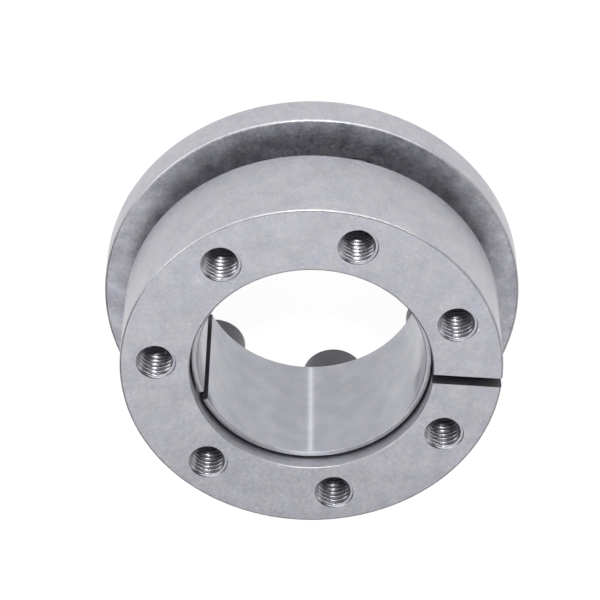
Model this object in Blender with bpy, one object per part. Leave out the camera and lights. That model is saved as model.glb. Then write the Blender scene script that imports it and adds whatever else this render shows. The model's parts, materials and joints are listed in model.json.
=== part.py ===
# Keyless shaft locking device: a slit outer ring with an inner taper, a slit sleeve with an outer
# taper and a flange, and socket head screws that draw the two rings together.
# The device stands on its screw heads, with its axis along +Z and the threaded face up.
# The origin is on the axis, at the level of the screw heads' ends. Lengths are in metres.

import math

import bmesh
import bpy
from mathutils import Matrix, Vector

# Bore and sleeve
bore_radius = 0.0225
bore_edge_chamfer = 0.00015
bore_back_chamfer = 0.0005
sleeve_wall = 0.0011
sleeve_recess = 0.0035
taper_angle = math.radians(4.5)
inner_slit_width = 0.0019

# Outer ring
ring_clearance = 0.0004
outer_ring_length = 0.0197
outer_ring_chamfer = 0.0006
outer_ring_back_chamfer = 0.0003
outer_ring_lip_chamfer = 0.00036
inner_thread_wall = 0.0011
outer_thread_wall = 0.003125
outer_slit_width = 0.00205

# Flange, at the screw heads' end of the sleeve
flange_gap = 0.0057
flange_thickness = 0.0076
flange_overhang = 0.0045
flange_chamfer = 0.0006

# Screws, evenly spaced, and their holes
screw_count = 7
first_screw_angle = math.radians(22.2)
thread_radius = 0.004
thread_clearance = 0.0004
flange_hole_clearance = 0.00015
screw_engagement = 0.0084
screw_tip_chamfer = 0.0006
head_overhang = 0.0025
head_height = 0.0077
head_edge_radius = 0.0008
seat_clearance = 0.0003
socket_width = 0.006
socket_depth = 0.0042
socket_chamfer = 0.0003

# Facets round the axis, and how far a cutter reaches past what it cuts
ring_facets = 96
screw_facets = 24
cutter_margin = 0.002

# Lengths along the axis
flange_back = head_height + seat_clearance
flange_front = flange_back + flange_thickness
ring_back = flange_front + flange_gap
ring_front = ring_back + outer_ring_length
sleeve_front = ring_front - sleeve_recess
screw_length = seat_clearance + flange_thickness + flange_gap + screw_engagement

# Angles of the screws and of the slits, which lie midway between two screws
screw_step = 2.0 * math.pi / screw_count
inner_slit_angle = first_screw_angle + (screw_count // 2 + 0.5) * screw_step
outer_slit_angle = first_screw_angle - 0.5 * screw_step


# Radius of the sleeve's outer taper, which widens towards the flange
def sleeve_radius(height):
    return bore_radius + sleeve_wall + (sleeve_front - height) * math.tan(taper_angle)


# Radius of the outer ring's inner taper, clear of the sleeve all the way
def ring_taper_radius(height):
    return sleeve_radius(height) + ring_clearance


screw_circle_radius = ring_taper_radius(ring_back) + inner_thread_wall + thread_radius
outer_ring_radius = screw_circle_radius + thread_radius + outer_thread_wall
flange_radius = outer_ring_radius + flange_overhang


def make_material(name, colour, roughness):
    material = bpy.data.materials.new(name)
    material.use_nodes = True
    shader = material.node_tree.nodes["Principled BSDF"]
    shader.inputs["Base Color"].default_value = (*colour, 1.0)
    shader.inputs["Metallic"].default_value = 1.0
    shader.inputs["Roughness"].default_value = roughness
    material.diffuse_color = (*colour, 1.0)
    return material


# Spins a profile of (radius, height) points round the Z axis into a closed mesh
def turned_mesh(name, profile, facets, closed):
    shape = bmesh.new()
    points = [shape.verts.new((radius, 0.0, height)) for radius, height in profile]
    lines = [shape.edges.new(pair) for pair in zip(points, points[1:])]
    if closed:
        lines.append(shape.edges.new((points[-1], points[0])))
    bmesh.ops.spin(
        shape,
        geom=points + lines,
        cent=(0.0, 0.0, 0.0),
        axis=(0.0, 0.0, 1.0),
        angle=2.0 * math.pi,
        steps=facets,
        use_merge=True,
    )
    bmesh.ops.remove_doubles(shape, verts=shape.verts, dist=0.000001)
    bmesh.ops.recalc_face_normals(shape, faces=shape.faces)
    mesh = bpy.data.meshes.new(name)
    shape.to_mesh(mesh)
    shape.free()
    return mesh


def smooth(mesh):
    mesh.shade_smooth()
    mesh.set_sharp_from_angle(angle=math.radians(30.0))


def add_object(name, mesh, material=None, location=(0.0, 0.0, 0.0)):
    item = bpy.data.objects.new(name, mesh)
    item.location = location
    bpy.context.collection.objects.link(item)
    if material is not None and not mesh.materials:
        mesh.materials.append(material)
    return item


def hide_cutter(cutter):
    cutter.hide_render = True
    cutter.display_type = "WIRE"


def add_cutter(name, shape):
    mesh = bpy.data.meshes.new(name)
    shape.to_mesh(mesh)
    shape.free()
    cutter = add_object(name, mesh)
    hide_cutter(cutter)
    return cutter


def cut(item, cutter):
    step = item.modifiers.new("cut by " + cutter.name, "BOOLEAN")
    step.operation = "DIFFERENCE"
    step.solver = "EXACT"
    step.object = cutter


# A round cutter on the screw circle, parallel to the axis
def add_hole(shape, radius, low, high, angle):
    across = screw_circle_radius * math.cos(angle)
    along = screw_circle_radius * math.sin(angle)
    place = Vector((across, along, (low + high) / 2.0))
    bmesh.ops.create_cone(
        shape,
        cap_ends=True,
        segments=screw_facets,
        radius1=radius,
        radius2=radius,
        depth=high - low,
        matrix=Matrix.Translation(place),
    )


# A flat cutter that runs outwards from inside the bore at an angle
def add_slit(shape, width, outer, low, high, angle):
    inner = bore_radius - cutter_margin
    turn = Matrix.Rotation(angle, 4, "Z")
    move = Matrix.Translation(((inner + outer) / 2.0, 0.0, (low + high) / 2.0))
    size = Matrix.Diagonal((outer - inner, width, high - low, 1.0))
    bmesh.ops.create_cube(shape, size=1.0, matrix=turn @ move @ size)


def screw_angle(number):
    return first_screw_angle + number * screw_step


# The sleeve and its flange, slit right through, with a clearance hole for each screw
def make_inner_ring():
    profile = [
        (bore_radius, flange_back + bore_back_chamfer),
        (bore_radius + bore_back_chamfer, flange_back),
        (flange_radius - flange_chamfer, flange_back),
        (flange_radius, flange_back + flange_chamfer),
        (flange_radius, flange_front - flange_chamfer),
        (flange_radius - flange_chamfer, flange_front),
        (sleeve_radius(flange_front), flange_front),
        (sleeve_radius(sleeve_front), sleeve_front),
        (bore_radius + bore_edge_chamfer, sleeve_front),
        (bore_radius, sleeve_front - bore_edge_chamfer),
    ]
    mesh = turned_mesh("inner_ring", profile, ring_facets, True)
    steel = make_material("inner_ring_steel", (0.47, 0.48, 0.50), 0.38)
    ring = add_object("inner_ring", mesh, steel)
    smooth(mesh)

    low = flange_back - cutter_margin
    high = flange_front + cutter_margin
    holes = bmesh.new()
    for number in range(screw_count):
        add_hole(holes, thread_radius + flange_hole_clearance, low, high, screw_angle(number))
    # Threaded holes for jacking the rings apart, in every second space counted from the slit
    for space in range(2, screw_count, 2):
        add_hole(holes, thread_radius, low, high, inner_slit_angle + space * screw_step)
    cut(ring, add_cutter("inner_ring_holes", holes))

    slit = bmesh.new()
    outer = flange_radius + cutter_margin
    high = sleeve_front + cutter_margin
    add_slit(slit, inner_slit_width, outer, low, high, inner_slit_angle)
    cut(ring, add_cutter("inner_ring_slit", slit))


# The slit ring that grips the hub, with a threaded hole for each screw
def make_outer_ring():
    lip = outer_ring_lip_chamfer
    profile = [
        (ring_taper_radius(ring_back + lip), ring_back + lip),
        (ring_taper_radius(ring_back) + lip, ring_back),
        (outer_ring_radius - outer_ring_back_chamfer, ring_back),
        (outer_ring_radius, ring_back + outer_ring_back_chamfer),
        (outer_ring_radius, ring_front - outer_ring_chamfer),
        (outer_ring_radius - outer_ring_chamfer, ring_front),
        (ring_taper_radius(ring_front) + lip, ring_front),
        (ring_taper_radius(ring_front - lip), ring_front - lip),
    ]
    mesh = turned_mesh("outer_ring", profile, ring_facets, True)
    steel = make_material("outer_ring_steel", (0.50, 0.51, 0.53), 0.42)
    ring = add_object("outer_ring", mesh, steel)
    smooth(mesh)

    low = ring_back - cutter_margin
    high = ring_front + cutter_margin
    holes = bmesh.new()
    for number in range(screw_count):
        add_hole(holes, thread_radius, low, high, screw_angle(number))
    cut(ring, add_cutter("outer_ring_holes", holes))

    slit = bmesh.new()
    outer = outer_ring_radius + cutter_margin
    add_slit(slit, outer_slit_width, outer, low, high, outer_slit_angle)
    cut(ring, add_cutter("outer_ring_slit", slit))


# A socket head screw with its head down and its head's end at height 0
def screw_mesh():
    head_radius = thread_radius + head_overhang
    shank_radius = thread_radius - thread_clearance
    tip = head_height + screw_length
    profile = [
        (0.0, tip),
        (shank_radius - screw_tip_chamfer, tip),
        (shank_radius, tip - screw_tip_chamfer),
        (shank_radius, head_height),
        (head_radius, head_height),
    ]
    # The rounded edge of the head's end
    edge_points = 4
    for step in range(edge_points + 1):
        turn = 0.5 * math.pi * step / edge_points
        profile.append((
            head_radius - head_edge_radius * (1.0 - math.cos(turn)),
            head_edge_radius * (1.0 - math.sin(turn)),
        ))
    profile.append((0.0, 0.0))
    mesh = turned_mesh("screw", profile, screw_facets, False)
    smooth(mesh)
    mesh.materials.append(make_material("screw_steel", (0.10, 0.10, 0.105), 0.45))
    return mesh


# The cutter for a hexagon socket, with a chamfered mouth and a drilled cone at its bottom
def socket_mesh():
    corner = socket_width / 2.0 / math.cos(math.radians(30.0))
    mouth = corner + socket_chamfer + cutter_margin
    cone_depth = corner * math.tan(math.radians(30.0))
    profile = [
        (0.0, -cutter_margin),
        (mouth, -cutter_margin),
        (corner, socket_chamfer),
        (corner, socket_depth),
        (0.0, socket_depth + cone_depth),
    ]
    return turned_mesh("screw_socket", profile, 6, False)


# The screws, each with its origin on its own axis, so that it can turn there
def make_screws():
    screw_shape = screw_mesh()
    socket_shape = socket_mesh()
    for number in range(screw_count):
        angle = screw_angle(number)
        place = (screw_circle_radius * math.cos(angle), screw_circle_radius * math.sin(angle), 0.0)
        screw = add_object("screw_%d" % (number + 1), screw_shape, location=place)
        socket = add_object("screw_socket_%d" % (number + 1), socket_shape)
        hide_cutter(socket)
        socket.parent = screw
        cut(screw, socket)


def main():
    for item in list(bpy.data.objects):
        bpy.data.objects.remove(item, do_unlink=True)
    make_inner_ring()
    make_outer_ring()
    make_screws()


main()
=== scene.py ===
import json
import math
import bmesh
import bpy
from mathutils import Matrix, Vector


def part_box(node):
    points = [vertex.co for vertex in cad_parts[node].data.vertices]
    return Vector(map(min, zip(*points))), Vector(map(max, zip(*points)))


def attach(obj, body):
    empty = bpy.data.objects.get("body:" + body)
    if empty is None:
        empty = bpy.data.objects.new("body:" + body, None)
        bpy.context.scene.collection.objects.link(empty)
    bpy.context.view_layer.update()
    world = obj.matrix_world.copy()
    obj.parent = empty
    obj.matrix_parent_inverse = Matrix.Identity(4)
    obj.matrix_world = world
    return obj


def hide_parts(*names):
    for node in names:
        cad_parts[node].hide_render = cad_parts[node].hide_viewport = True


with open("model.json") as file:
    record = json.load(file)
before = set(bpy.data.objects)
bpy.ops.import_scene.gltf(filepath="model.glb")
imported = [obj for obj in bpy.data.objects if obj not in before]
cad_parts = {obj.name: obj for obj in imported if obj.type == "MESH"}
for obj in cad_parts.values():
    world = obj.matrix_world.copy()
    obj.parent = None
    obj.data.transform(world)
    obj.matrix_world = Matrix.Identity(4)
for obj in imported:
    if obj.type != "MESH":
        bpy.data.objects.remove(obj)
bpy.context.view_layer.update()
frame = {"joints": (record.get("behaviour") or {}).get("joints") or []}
print("frame loaded")

# Places that come from the frame. All lengths are in metres
sleeveLow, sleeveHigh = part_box("inner_ring")
ringLow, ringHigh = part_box("outer_ring")
screwLow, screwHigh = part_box("screw_1")
flangeBack = sleeveLow.z
flangeRadius = sleeveHigh.x
sleeveFront = sleeveHigh.z
ringBack = ringLow.z
ringFront = ringHigh.z
ringRadius = ringHigh.x
headRadius = (screwHigh.x - screwLow.x) / 2.0
screwTip = screwHigh.z
screwJoints = [joint for joint in frame["joints"] if joint["type"] == "hinge"]
screwPlaces = [Vector(joint["pos_m"]) for joint in screwJoints]
screwStep = 2.0 * math.pi / len(screwPlaces)
firstScrewAngle = math.atan2(screwPlaces[0].y, screwPlaces[0].x)

# How near two corners, or a corner and a cutting plane, count as touching
nearOnTurned = 1e-7
nearOnBevelled = 1e-6
nearOnThreadEnd = 1e-8

cutterSpare = 0.001  # how far a cutter reaches past what it cuts
smoothAngle = math.radians(28.0)  # edges sharper than this stay crisp

# The thread, the same in the rings and on the screws, so that they mesh
thread = {
    "pitch": 0.00125,
    "pitchRadius": 0.003594,
    "flank": math.radians(30.0),
    "grooveRadius": 0.00396,  # the groove's bottom in a hole
    "coreRadius": 0.00333,  # the ridge's top in a hole
    "holeAllowance": 0.00003,
    "screwRadius": 0.00394,
    "rootRadius": 0.00325,
    "start": math.radians(-38.0),  # where round the hole a groove's middle crosses height 0
    "holeRound": 0.00012,  # of the ridges' corners
    "screwRound": 0.0001,
    "steps": 48,
    "spareTurns": 3,  # past both ends, which are cut off flat
}


def addObject(name, data):
    item = bpy.data.objects.new(name, data)
    bpy.context.scene.collection.objects.link(item)
    return item


def newPiece(name, shape, finishes):
    mesh = bpy.data.meshes.new(name)
    shape.to_mesh(mesh)
    shape.free()
    piece = addObject(name, mesh)
    for finish in finishes:
        mesh.materials.append(finish)
    return piece


# A turned shape from its profile: each corner is (radius, height, rounding)
def turnProfile(points, steps, closed=True):
    shape = bmesh.new()
    corners = [shape.verts.new((radius, 0.0, height)) for radius, height, rounding in points]
    lines = [shape.edges.new(pair) for pair in zip(corners, corners[1:])]
    if closed:
        lines.append(shape.edges.new((corners[-1], corners[0])))
    for rounding in sorted({point[2] for point in points} - {0.0}):
        chosen = [corner for corner, point in zip(corners, points) if point[2] == rounding]
        bmesh.ops.bevel(
            shape, geom=chosen, offset=rounding, offset_type="OFFSET", affect="VERTICES",
            segments=4, profile=0.5, material=-1,
        )
    bmesh.ops.spin(
        shape, geom=shape.verts[:] + shape.edges[:], cent=(0, 0, 0), axis=(0, 0, 1),
        angle=2.0 * math.pi, steps=steps, use_merge=True,
    )
    bmesh.ops.remove_doubles(shape, verts=shape.verts, dist=nearOnTurned)
    bmesh.ops.recalc_face_normals(shape, faces=shape.faces)
    return shape


# Closes the open ends of a shape with flat faces
def closeEnds(shape):
    openEdges = [item for item in shape.edges if item.is_boundary]
    caps = bmesh.ops.holes_fill(shape, edges=openEdges, sides=0)["faces"]
    bmesh.ops.recalc_face_normals(shape, faces=shape.faces)
    return caps


# Saws a slit with flat sides through one side of a ring, and breaks its edges
def sawSlit(shape, width, angle, edge):
    chipHalf = 0.49 * width  # just inside the sawn sides
    turn = Matrix.Rotation(angle, 3, "Z")
    bmesh.ops.rotate(shape, cent=(0, 0, 0), matrix=turn.inverted(), verts=shape.verts)
    for side in (-0.5, 0.5):
        near = [face for face in shape.faces if face.calc_center_median().x > 0]
        nearEdges = {item for face in near for item in face.edges}
        nearCorners = {item for face in near for item in face.verts}
        bmesh.ops.bisect_plane(
            shape, geom=near + list(nearEdges) + list(nearCorners), dist=nearOnTurned,
            plane_co=(0, side * width, 0), plane_no=(0, 1, 0),
        )
    chips = []
    for face in shape.faces:
        middle = face.calc_center_median()
        if middle.x > 0 and abs(middle.y) < chipHalf:
            chips.append(face)
    bmesh.ops.delete(shape, geom=chips, context="FACES")
    walls = closeEnds(shape)
    rims = list({item for wall in walls for item in wall.edges})
    bmesh.ops.bevel(
        shape, geom=rims, offset=edge, offset_type="OFFSET", affect="EDGES",
        segments=1, profile=0.5, material=-1, clamp_overlap=True,
    )
    bmesh.ops.remove_doubles(shape, verts=shape.verts, dist=nearOnBevelled)
    bmesh.ops.rotate(shape, cent=(0, 0, 0), matrix=turn, verts=shape.verts)


# Half the width of a thread's tooth at a radius
def toothHalf(radius, allowance):
    narrowing = (thread["pitchRadius"] - radius) * math.tan(thread["flank"])
    return thread["pitch"] / 4.0 + narrowing + allowance


# A right-hand threaded rod with flat ends
def threadedRod(core, crest, allowance, low, high, rounded, rounding):
    pitch = thread["pitch"]
    firstTurn = math.floor(low / pitch) - thread["spareTurns"]
    lastTurn = math.ceil(high / pitch) + thread["spareTurns"]
    shape = bmesh.new()
    corners = []
    ridge = []
    for turn in range(firstTurn, lastTurn):
        for radius, side in ((core, -1), (crest, -1), (crest, 1), (core, 1)):
            height = turn * pitch + side * toothHalf(radius, allowance)
            corners.append(shape.verts.new((radius, 0.0, height)))
            if radius == rounded:
                ridge.append(corners[-1])
    for pair in zip(corners, corners[1:]):
        shape.edges.new(pair)
    bmesh.ops.bevel(
        shape, geom=ridge[1:-1], offset=rounding, offset_type="OFFSET", affect="VERTICES",
        segments=3, profile=0.5, material=-1,
    )
    bmesh.ops.spin(
        shape, geom=shape.verts[:] + shape.edges[:], cent=(0, 0, 0), axis=(0, 0, 1),
        dvec=(0, 0, pitch / thread["steps"]), angle=2.0 * math.pi, steps=thread["steps"],
    )
    bmesh.ops.remove_doubles(shape, verts=shape.verts, dist=nearOnBevelled)
    start = Matrix.Rotation(thread["start"], 3, "Z")
    bmesh.ops.rotate(shape, cent=(0, 0, 0), matrix=start, verts=shape.verts)
    for height, side in ((low, -1), (high, 1)):
        bmesh.ops.bisect_plane(
            shape, geom=shape.verts[:] + shape.edges[:] + shape.faces[:], dist=nearOnThreadEnd,
            plane_co=(0, 0, height), plane_no=(0, 0, side), clear_outer=True,
        )
    closeEnds(shape)
    return shape


# The cutter that threads a hole
def tapCutter(low, high):
    core = thread["coreRadius"]
    return threadedRod(
        core, thread["grooveRadius"], thread["holeAllowance"],
        low - cutterSpare, high + cutterSpare, core, thread["holeRound"],
    )


def cone(lowRadius, highRadius, low, high, steps):
    shape = bmesh.new()
    bmesh.ops.create_cone(
        shape, cap_ends=True, segments=steps, radius1=lowRadius, radius2=highRadius,
        depth=high - low, matrix=Matrix.Translation((0, 0, (low + high) / 2.0)),
    )
    return shape


# A cone that breaks a hole's edge at a face that looks up (1) or down (-1)
def mouthCutter(radius, depth, slope, face, outwards, steps):
    spare = 0.0004  # how far it stands out of the face
    wide = radius + spare * slope
    narrow = radius - depth * slope
    if outwards > 0:
        return cone(narrow, wide, face - depth, face + spare, steps)
    return cone(wide, narrow, face - spare, face + depth, steps)


# A round cutter for a through hole with both edges broken
def holeCutter(radius, broken, low, high, steps):
    wide = radius + broken + cutterSpare
    return turnProfile([
        (0.0, low - cutterSpare, 0.0),
        (wide, low - cutterSpare, 0.0),
        (radius, low + broken, 0.0),
        (radius, high - broken, 0.0),
        (wide, high + cutterSpare, 0.0),
        (0.0, high + cutterSpare, 0.0),
    ], steps, closed=False)


# Replaces a piece's mesh by what its modifiers make of it
def bakeModifiers(piece):
    graph = bpy.context.evaluated_depsgraph_get()
    baked = bpy.data.meshes.new_from_object(piece.evaluated_get(graph))
    piece.modifiers.clear()
    old = piece.data
    piece.data = baked
    bpy.data.meshes.remove(old)
    baked.name = piece.name


# The number of a finish among those of a piece
def finishNumber(piece, finish):
    return piece.data.materials.find(finish.name)


# Cuts a shape from a piece at some places, or joins it, and gives the new faces a finish
def combine(piece, shape, operation, finish, places=(Vector((0, 0, 0)),)):
    tool = newPiece("tool", shape, piece.data.materials[:])
    number = finishNumber(piece, finish)
    for face in tool.data.polygons:
        face.material_index = number
    for place in places:
        tool.location = (place.x, place.y, 0)
        step = piece.modifiers.new("combine", "BOOLEAN")
        step.operation = operation
        step.solver = "EXACT"
        step.object = tool
        bakeModifiers(piece)
    bpy.data.objects.remove(tool)


# Smooth shading that leaves flat faces flat
def smoothShade(piece):
    piece.data.shade_smooth()
    piece.data.set_sharp_from_angle(angle=smoothAngle)
    weigh = piece.modifiers.new("flat faces", "WEIGHTED_NORMAL")
    weigh.mode = "FACE_AREA"
    weigh.weight = 100
    weigh.keep_sharp = True
    bakeModifiers(piece)


def addNoise(tree, size, detail, vector):
    noise = tree.nodes.new("ShaderNodeTexNoise")
    noise.inputs["Scale"].default_value = 1.0 / size
    noise.inputs["Detail"].default_value = detail
    tree.links.new(vector, noise.inputs["Vector"])
    return noise.outputs["Fac"]


def addRange(tree, value, low, high, toLow, toHigh, kind="LINEAR"):
    node = tree.nodes.new("ShaderNodeMapRange")
    node.interpolation_type = kind
    node.inputs["From Min"].default_value = low
    node.inputs["From Max"].default_value = high
    node.inputs["To Min"].default_value = toLow
    node.inputs["To Max"].default_value = toHigh
    tree.links.new(value, node.inputs["Value"])
    return node.outputs["Result"]


def addMath(tree, operation, first, second):
    node = tree.nodes.new("ShaderNodeMath")
    node.operation = operation
    for value, socket in ((first, node.inputs[0]), (second, node.inputs[1])):
        if isinstance(value, float):
            socket.default_value = value
        else:
            tree.links.new(value, socket)
    return node.outputs[0]


def addMix(tree, factor, first, second, kind="MIX"):
    node = tree.nodes.new("ShaderNodeMix")
    node.data_type = "RGBA"
    node.blend_type = kind
    for value, socket in ((first, node.inputs["A"]), (second, node.inputs["B"])):
        if isinstance(value, tuple):
            socket.default_value = (*value, 1.0)
        else:
            tree.links.new(value, socket)
    if isinstance(factor, float):
        node.inputs["Factor"].default_value = factor
    else:
        tree.links.new(factor, node.inputs["Factor"])
    return node.outputs["Result"]


# Bare steel, its marks running round the axis of the device
def steelFinish(name, look):
    material = bpy.data.materials.new(name)
    material.use_nodes = True
    tree = material.node_tree
    nodes = tree.nodes
    links = tree.links
    shader = nodes["Principled BSDF"]
    shader.inputs["Metallic"].default_value = 1.0
    shader.inputs["Anisotropic"].default_value = look["stretch"]
    shader.inputs["Anisotropic Rotation"].default_value = look["stretchTurn"]

    place = nodes.new("ShaderNodeTexCoord").outputs["Object"]
    split = nodes.new("ShaderNodeSeparateXYZ")
    links.new(place, split.inputs[0])
    flat = nodes.new("ShaderNodeCombineXYZ")
    links.new(split.outputs["X"], flat.inputs["X"])
    links.new(split.outputs["Y"], flat.inputs["Y"])
    reach = nodes.new("ShaderNodeVectorMath")
    reach.operation = "LENGTH"
    links.new(flat.outputs[0], reach.inputs[0])
    turn = addMath(tree, "ARCTAN2", split.outputs["Y"], split.outputs["X"])

    # Tool marks: fine across, long round the axis
    around = nodes.new("ShaderNodeCombineXYZ")
    turned = addMath(tree, "MULTIPLY", turn, look["markWidth"] * look["markTurns"])
    links.new(reach.outputs["Value"], around.inputs["X"])
    links.new(split.outputs["Z"], around.inputs["Y"])
    links.new(turned, around.inputs["Z"])
    marks = addNoise(tree, look["markWidth"], look["markDetail"], around.outputs[0])
    groove = addRange(tree, marks, look["grooveFrom"], look["grooveTo"], 1.0, 0.0, "SMOOTHSTEP")

    # Grain, soft stains, patches of a cooler and a warmer tone, and small bright specks
    grain = addNoise(tree, look["grainSize"], look["grainDetail"], place)
    stain = addNoise(tree, look["stainSize"], look["stainDetail"], place)
    tone = addNoise(tree, look["toneSize"], look["toneDetail"], place)
    speck = addNoise(tree, look["speckSize"], look["speckDetail"], place)
    grainPart = addMath(tree, "MULTIPLY", grain, look["grainShare"])
    stainPart = addMath(tree, "MULTIPLY", stain, 1.0 - look["grainShare"])
    mottle = addMath(tree, "ADD", grainPart, stainPart)
    shade = addRange(tree, mottle, look["shadeFrom"], look["shadeTo"], 0.0, 1.0)
    colour = addMix(tree, shade, look["darkColour"], look["lightColour"])
    warmth = addRange(tree, tone, look["shadeFrom"], look["shadeTo"], 0.0, 1.0)
    cast = addMix(tree, warmth, look["coolTone"], look["warmTone"])
    colour = addMix(tree, 1.0, colour, cast, "MULTIPLY")
    bright = addRange(tree, speck, look["speckFrom"], look["speckFrom"] + look["speckSoft"], 0.0, 1.0)
    colour = addMix(tree, bright, colour, look["speckColour"])
    links.new(colour, shader.inputs["Base Color"])
    rough = addRange(tree, grain, look["roughFrom"], look["roughTo"], look["roughLow"], look["roughHigh"])
    links.new(rough, shader.inputs["Roughness"])

    markBump = nodes.new("ShaderNodeBump")
    markBump.inputs["Distance"].default_value = look["markDepth"]
    markBump.inputs["Filter Width"].default_value = look["markFilter"]
    links.new(groove, markBump.inputs["Height"])
    grainBump = nodes.new("ShaderNodeBump")
    grainBump.inputs["Distance"].default_value = look["grainDepth"]
    links.new(grain, grainBump.inputs["Height"])
    links.new(markBump.outputs["Normal"], grainBump.inputs["Normal"])
    links.new(grainBump.outputs["Normal"], shader.inputs["Normal"])
    if look["streakShare"] > 0.0:
        # The finest marks, which draw a lamp out into a streak along the axis
        streak = nodes.new("ShaderNodeBsdfAnisotropic")
        streak.inputs["Color"].default_value = (*look["lightColour"], 1.0)
        streak.inputs["Roughness"].default_value = look["streakRough"]
        streak.inputs["Anisotropy"].default_value = look["streakStretch"]
        blend = nodes.new("ShaderNodeMixShader")
        blend.inputs[0].default_value = look["streakShare"]
        links.new(shader.outputs[0], blend.inputs[1])
        links.new(streak.outputs[0], blend.inputs[2])
        links.new(blend.outputs[0], nodes["Material Output"].inputs["Surface"])
        links.new(grainBump.outputs["Normal"], streak.inputs["Normal"])
    return material


# Sizes and depths are in metres. From and To are the part of a noise that a change spreads over
turnedLook = {
    "darkColour": (0.43, 0.43, 0.462),
    "lightColour": (0.545, 0.545, 0.58),
    "shadeFrom": 0.35,
    "shadeTo": 0.65,
    "coolTone": (0.985, 0.99, 1.03),
    "warmTone": (1.01, 1.01, 0.98),
    "toneSize": 0.002,
    "toneDetail": 2.0,
    "speckColour": (0.72, 0.72, 0.75),
    "speckSize": 0.0004,
    "speckDetail": 1.0,
    "speckFrom": 0.72,  # higher makes fewer specks
    "speckSoft": 0.05,
    "roughLow": 0.36,
    "roughHigh": 0.46,
    "roughFrom": 0.3,
    "roughTo": 0.7,
    "stretch": 0.0,
    "stretchTurn": 0.25,  # a quarter turn, across the tool marks
    "markWidth": 0.00016,
    "markDetail": 2.0,
    "markTurns": 4.0,
    "markDepth": 0.000002,
    "markFilter": 0.1,
    "grooveFrom": 0.3,
    "grooveTo": 0.7,
    "grainSize": 0.0007,
    "grainDetail": 4.0,
    "grainDepth": 0.00001,
    "grainShare": 0.6,  # the rest of the shading is stains
    "stainSize": 0.004,
    "stainDetail": 3.0,
    "streakShare": 0.0,
}
facedLook = {
    **turnedLook,
    "darkColour": (0.40, 0.40, 0.435),
    "lightColour": (0.545, 0.545, 0.59),
    "speckFrom": 0.705,
    "grainShare": 0.62,
}
boreLook = {
    **turnedLook,
    "darkColour": (0.405, 0.41, 0.445),
    "lightColour": (0.46, 0.465, 0.505),
    "stretch": 0.5,
    "roughLow": 0.16,
    "roughHigh": 0.20,
    "markDepth": 0.0,
    "grainDepth": 0.000004,
    "grainShare": 0.05,
    "speckFrom": 0.9,
    "streakShare": 0.13,
    "streakRough": 0.4,
    "streakStretch": 0.9,
}
tappedLook = {
    **turnedLook,
    "roughLow": 0.22,
    "roughHigh": 0.27,
    "markDepth": 0.0,
    "grainDepth": 0.000002,
    "speckFrom": 0.9,
}
flangeLook = {
    **facedLook,
    "darkColour": (0.36, 0.36, 0.395),
    "lightColour": (0.65, 0.65, 0.71),
    "roughLow": 0.43,
    "roughHigh": 0.53,
    "grainShare": 0.45,
}
# The slit's sides: rough, with sawn marks. Their dark colour is painted shade of the deep, narrow slit
slitShadeLook = {
    **turnedLook,
    "darkColour": (0.11, 0.11, 0.12),
    "lightColour": (0.16, 0.16, 0.175),
    "roughLow": 0.55,
    "roughHigh": 0.70,
    "markWidth": 0.0003,
    "markDepth": 0.00001,
    "speckFrom": 0.9,
}
screwLook = {
    **turnedLook,
    "darkColour": (0.085, 0.085, 0.095),
    "lightColour": (0.125, 0.125, 0.137),
    "roughLow": 0.38,
    "roughHigh": 0.48,
    "speckFrom": 0.9,
}
turnedSteel = steelFinish("turned_steel", turnedLook)
facedSteel = steelFinish("faced_steel", facedLook)
boreSteel = steelFinish("fine_bored_steel", boreLook)
tappedSteel = steelFinish("tapped_steel", tappedLook)
flangeSteel = steelFinish("flange_steel", flangeLook)
slitShadeSteel = steelFinish("sawn_slit_painted_shade", slitShadeLook)
screwSteel = steelFinish("dark_screw_steel", screwLook)
print("finishes made")


# Breaks the edges of threaded holes at a piece's lower and upper face
def breakMouths(piece, radius, depth, slope, low, high, steps, places):
    for face, outwards in ((low, -1), (high, 1)):
        mouth = mouthCutter(radius, depth, slope, face, outwards, steps)
        combine(piece, mouth, "DIFFERENCE", tappedSteel, places)


# Gives the wall of the bore its own finish
def paintBore(piece, radius, finish):
    number = finishNumber(piece, finish)
    wallReach = radius + 0.00002
    mostTilt = 0.05  # a face that looks up or down more than this isn't the wall
    for face in piece.data.polygons:
        if face.center.xy.length < wallReach and abs(face.normal.z) < mostTilt:
            face.material_index = number


# Gives the sides of a slit, with their broken edges, their own finish: painted shade of the deep, narrow
# slit, which also dulls the broken edges
def paintSlit(piece, angle, width, finish):
    number = finishNumber(piece, finish)
    across = Vector((-math.sin(angle), math.cos(angle), 0.0))
    along = Vector((math.cos(angle), math.sin(angle), 0.0))
    sideReach = 0.53 * width  # half the slit and its broken edges
    leastFacing = 0.6  # how squarely a face has to look across the slit
    for face in piece.data.polygons:
        inSlit = abs(face.center.dot(across)) < sideReach and face.center.dot(along) > 0
        if inSlit and abs(face.normal.dot(across)) > leastFacing:
            face.material_index = number


# Gives the faces below a height that look up their own finish
def paintUpper(piece, leastUp, height, finish):
    number = finishNumber(piece, finish)
    for face in piece.data.polygons:
        if face.normal.z > leastUp and face.center.z < height:
            face.material_index = number


# The sleeve and its flange, one turned piece
sleeve = {
    "boreRadius": 0.0225,
    "boreEdge": 0.0002,
    "boreBackEdge": 0.0005,
    "wall": 0.0011,  # at the sleeve's front end
    "taper": math.radians(4.5),
    "flangeThickness": 0.0076,
    "flangeEdge": 0.00065,
    "flangeUp": 0.9,  # how much a face looks up where it takes the flange's finish
    "slitWidth": 0.0019,
    "slitEdge": 0.00004,
    "screwHoleRadius": 0.00415,
    "screwHoleEdge": 0.00005,
    "jackHoleEdge": 0.0002,
    "jackMouthDeeper": 0.0006,  # how far the broken edge goes on below the groove's bottom
    "jackMouthSlope": 1.0,
    "steps": 256,
    "holeSteps": 64,
}


def sleeveRadius(height):
    return sleeve["boreRadius"] + sleeve["wall"] + (sleeveFront - height) * math.tan(sleeve["taper"])


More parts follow.
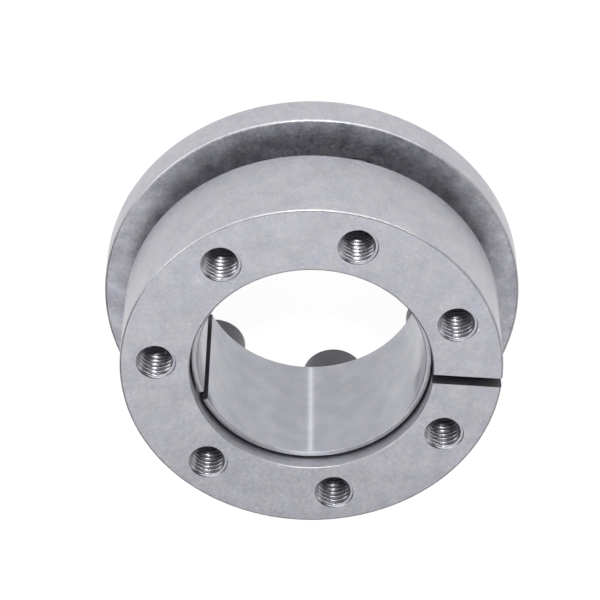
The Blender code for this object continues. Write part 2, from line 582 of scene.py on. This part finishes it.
def makeSleeve():
    edge = sleeve["flangeEdge"]
    boreEdge = sleeve["boreEdge"]
    holeSteps = sleeve["holeSteps"]
    flangeFront = flangeBack + sleeve["flangeThickness"]
    shape = turnProfile([
        (sleeve["boreRadius"], flangeBack, sleeve["boreBackEdge"]),
        (flangeRadius, flangeBack, edge),
        (flangeRadius, flangeFront, edge),
        (sleeveRadius(flangeFront), flangeFront, 0.0),
        (sleeveRadius(sleeveFront), sleeveFront, boreEdge),
        (sleeve["boreRadius"], sleeveFront, boreEdge),
    ], sleeve["steps"])
    slitAngle = firstScrewAngle + (len(screwPlaces) // 2 + 0.5) * screwStep
    sawSlit(shape, sleeve["slitWidth"], slitAngle, sleeve["slitEdge"])
    finishes = [turnedSteel, tappedSteel, boreSteel, slitShadeSteel, flangeSteel]
    piece = newPiece("sleeve_and_flange", shape, finishes)

    plain = holeCutter(
        sleeve["screwHoleRadius"], sleeve["screwHoleEdge"], flangeBack, flangeFront, holeSteps,
    )
    combine(piece, plain, "DIFFERENCE", tappedSteel, screwPlaces)

    # Threaded holes in every second space between the screws, counted from the slit
    reach = screwPlaces[0].xy.length
    jackPlaces = []
    for space in range(2, len(screwPlaces), 2):
        angle = slitAngle + space * screwStep
        jackPlaces.append(Vector((reach * math.cos(angle), reach * math.sin(angle), 0.0)))
    combine(piece, tapCutter(flangeBack, flangeFront), "DIFFERENCE", tappedSteel, jackPlaces)
    broken = sleeve["jackHoleEdge"]
    breakMouths(
        piece, thread["grooveRadius"] + broken, broken + sleeve["jackMouthDeeper"],
        sleeve["jackMouthSlope"], flangeBack, flangeFront, holeSteps, jackPlaces,
    )

    paintBore(piece, sleeve["boreRadius"], boreSteel)
    # Painted shade on the slit's sides and broken edges
    paintSlit(piece, slitAngle, sleeve["slitWidth"], slitShadeSteel)
    paintUpper(piece, sleeve["flangeUp"], ringBack, flangeSteel)
    smoothShade(piece)
    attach(piece, "inner_ring")
    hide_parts("inner_ring")
    print("sleeve and flange made")


makeSleeve()

# The outer ring, with its threaded holes
ring = {
    "clearance": 0.0004,  # between the two tapers
    "edge": 0.00055,
    "backEdge": 0.0003,
    "lip": 0.0004,
    "faceUp": 0.99,  # how much a face looks up where it takes the threaded face's finish
    "slitWidth": 0.00205,
    "slitEdge": 0.00004,
    "mouthRadius": 0.00393,
    "mouthDepth": 0.00032,
    "mouthSlope": 0.56,
    "steps": 256,
}


def ringTaper(height):
    return sleeveRadius(height) + ring["clearance"]


def makeRing():
    lip = ring["lip"]
    shape = turnProfile([
        (ringTaper(ringBack), ringBack, lip),
        (ringRadius, ringBack, ring["backEdge"]),
        (ringRadius, ringFront, ring["edge"]),
        (ringTaper(ringFront), ringFront, lip),
    ], ring["steps"])
    slitAngle = firstScrewAngle - 0.5 * screwStep
    sawSlit(shape, ring["slitWidth"], slitAngle, ring["slitEdge"])
    piece = newPiece("threaded_ring", shape, [turnedSteel, tappedSteel, slitShadeSteel, facedSteel])

    breakMouths(
        piece, ring["mouthRadius"], ring["mouthDepth"], ring["mouthSlope"],
        ringBack, ringFront, thread["steps"], screwPlaces,
    )
    combine(piece, tapCutter(ringBack, ringFront), "DIFFERENCE", tappedSteel, screwPlaces)

    # Painted shade on the slit's sides and broken edges
    paintSlit(piece, slitAngle, ring["slitWidth"], slitShadeSteel)
    paintUpper(piece, ring["faceUp"], ringFront + cutterSpare, facedSteel)
    smoothShade(piece)
    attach(piece, "outer_ring")
    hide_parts("outer_ring")
    print("threaded ring made")


makeRing()

# The socket head screws
screw = {
    "headHeight": 0.0077,
    "headEdge": 0.0008,
    "seatEdge": 0.0002,
    "tipChamfer": 0.0006,
    "socketWidth": 0.006,
    "socketDepth": 0.0042,
    "socketChamfer": 0.0003,
    "socketConeAngle": math.radians(30.0),  # of the drilled bottom
    "steps": 72,
}


# A hexagon socket with a broken edge and a drilled bottom
def socketCutter():
    sides = 6
    corner = screw["socketWidth"] / 2.0 / math.cos(math.pi / sides)
    chamfer = screw["socketChamfer"]
    depth = screw["socketDepth"]
    return turnProfile([
        (0.0, -cutterSpare, 0.0),
        (corner + chamfer + cutterSpare, -cutterSpare, 0.0),
        (corner, chamfer, 0.0),
        (corner, depth, 0.0),
        (0.0, depth + corner * math.tan(screw["socketConeAngle"]), 0.0),
    ], sides, closed=False)


def makeScrews():
    headHeight = screw["headHeight"]
    head = turnProfile([
        (0.0, headHeight, 0.0),
        (headRadius, headHeight, screw["seatEdge"]),
        (headRadius, 0.0, screw["headEdge"]),
        (0.0, 0.0, 0.0),
    ], screw["steps"], closed=False)
    model = newPiece("screw_model", head, [screwSteel])

    crest = thread["screwRadius"]
    shank = threadedRod(
        thread["rootRadius"], crest, 0.0,
        headHeight - cutterSpare, screwTip, crest, thread["screwRound"],
    )
    # The chamfer at the tip
    for corner in shank.verts:
        limit = crest - screw["tipChamfer"] + (screwTip - corner.co.z)
        reach = corner.co.xy.length
        if reach > limit:
            corner.co.x *= limit / reach
            corner.co.y *= limit / reach
    combine(model, shank, "UNION", screwSteel)
    combine(model, socketCutter(), "DIFFERENCE", screwSteel)

    for number, place in enumerate(screwPlaces, 1):
        piece = addObject("cap_screw_%d" % number, model.data.copy())
        piece.data.transform(Matrix.Translation((place.x, place.y, 0.0)))
        smoothShade(piece)
        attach(piece, "screw_%d" % number)
        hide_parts("screw_%d" % number)
    bpy.data.objects.remove(model)
    print("screws made")


makeScrews()

# The floor: white in the picture and in the steel, with the device's shadow
stage = {
    "size": 3.0,  # from its middle to a side
    "colour": (0.8, 0.8, 0.8, 1.0),
    "glow": 0.95,
    "shadowColour": (0.14, 0.14, 0.14, 1.0),  # how much light and shadow add to the glow
}


def makeFloor():
    shape = bmesh.new()
    bmesh.ops.create_grid(shape, x_segments=1, y_segments=1, size=stage["size"])
    material = bpy.data.materials.new("white_floor")
    material.use_nodes = True
    tree = material.node_tree
    nodes = tree.nodes
    links = tree.links
    nodes.remove(nodes["Principled BSDF"])
    paper = nodes.new("ShaderNodeBsdfDiffuse")
    paper.inputs["Color"].default_value = stage["colour"]
    thin = nodes.new("ShaderNodeBsdfDiffuse")
    thin.inputs["Color"].default_value = stage["shadowColour"]
    glow = nodes.new("ShaderNodeEmission")
    glow.inputs["Strength"].default_value = stage["glow"]
    both = nodes.new("ShaderNodeAddShader")
    links.new(thin.outputs[0], both.inputs[0])
    links.new(glow.outputs[0], both.inputs[1])

    # To the camera and in the steel the floor glows. To other light it is plain pale paper
    path = nodes.new("ShaderNodeLightPath").outputs
    seen = addMath(tree, "MAXIMUM", path["Is Camera Ray"], path["Is Glossy Ray"])
    seen = addMath(tree, "MAXIMUM", seen, path["Is Transmission Ray"])
    choose = nodes.new("ShaderNodeMixShader")
    links.new(seen, choose.inputs[0])
    links.new(paper.outputs[0], choose.inputs[1])
    links.new(both.outputs[0], choose.inputs[2])
    links.new(choose.outputs[0], nodes["Material Output"].inputs["Surface"])
    floor = newPiece("floor", shape, [material])
    print("floor made")


makeFloor()

# The camera, above the threaded face
camera = {
    "tilt": math.radians(34.5),
    "roll": math.radians(0.62),
    "distance": 0.526,
    "faceRight": 0.00221,  # where the threaded face's middle is from the picture's middle
    "faceDown": 0.0140,
    "lens": 161.66,  # in millimetres, as the sensor's width
    "sensorWidth": 36.0,
    "clipEnd": 20.0,
}


def makeCamera():
    lens = bpy.data.cameras.new("camera")
    lens.lens = camera["lens"]
    lens.sensor_width = camera["sensorWidth"]
    lens.clip_end = camera["clipEnd"]
    piece = addObject("camera", lens)
    bpy.context.scene.camera = piece
    aim = Matrix.Rotation(-camera["tilt"], 4, "X") @ Matrix.Rotation(camera["roll"], 4, "Z")
    back = aim @ Vector((camera["faceRight"], -camera["faceDown"], -camera["distance"]))
    piece.matrix_world = Matrix.Translation(Vector((0, 0, ringFront)) - back) @ aim


makeCamera()

# The lamps. In degrees, side is the turn from the camera's side and height the angle above the floor
lamps = [
    {
        "name": "key", "side": 0.0, "height": 46.5, "reach": 2.0,
        "width": 0.06, "length": 0.06, "power": 11.5,
    },
    {
        "name": "front", "side": -18.0, "height": 25.0, "reach": 1.0,
        "width": 3.0, "length": 0.8, "power": 12.5,
    },
    {
        "name": "right", "side": 45.0, "height": 30.0, "reach": 1.0,
        "width": 0.4, "length": 0.4, "power": 1.5,
    },
    {
        "name": "left", "side": -76.0, "height": 28.0, "reach": 1.0,
        "width": 0.4, "length": 0.4, "power": 1.6,
    },
    {
        "name": "far right", "side": 80.0, "height": 32.0, "reach": 1.0,
        "width": 0.6, "length": 0.6, "power": 0.8,
    },
    {
        "name": "edge right", "side": 118.0, "height": 26.0, "reach": 1.0,
        "width": 1.0, "length": 0.8, "power": 1.0,
    },
    {
        "name": "back left", "side": 215.0, "height": 50.0, "reach": 1.0,
        "width": 0.4, "length": 0.4, "power": 0.5,
    },
    {
        "name": "back right", "side": 147.0, "height": 52.0, "reach": 1.0,
        "width": 0.4, "length": 0.4, "power": 0.25,
    },
    {
        "name": "top", "side": 195.0, "height": 68.0, "reach": 1.0,
        "width": 1.2, "length": 0.6, "power": 3.1,
    },
]


def makeLamps():
    for lamp in lamps:
        light = bpy.data.lights.new(lamp["name"], "AREA")
        light.shape = "RECTANGLE"
        light.size = lamp["width"]
        light.size_y = lamp["length"]
        light.energy = lamp["power"]
        piece = addObject(lamp["name"], light)
        side = math.radians(lamp["side"])
        height = math.radians(lamp["height"])
        flat = math.cos(height)
        away = Vector((math.sin(side) * flat, math.cos(side) * flat, math.sin(height)))
        aim = away.to_track_quat("Z", "Y").to_matrix().to_4x4()
        piece.matrix_world = Matrix.Translation(away * lamp["reach"]) @ aim


makeLamps()

# Faint light from all round
studio = {
    "colour": (1.0, 1.0, 1.0, 1.0),
    "strength": 0.045,
}


def makeWorld():
    world = bpy.data.worlds.new("studio")
    bpy.context.scene.world = world
    world.use_nodes = True
    light = world.node_tree.nodes["Background"].inputs
    light["Color"].default_value = studio["colour"]
    light["Strength"].default_value = studio["strength"]


makeWorld()
print("camera and lamps placed")

bpy.context.scene.view_settings.view_transform = "Standard"
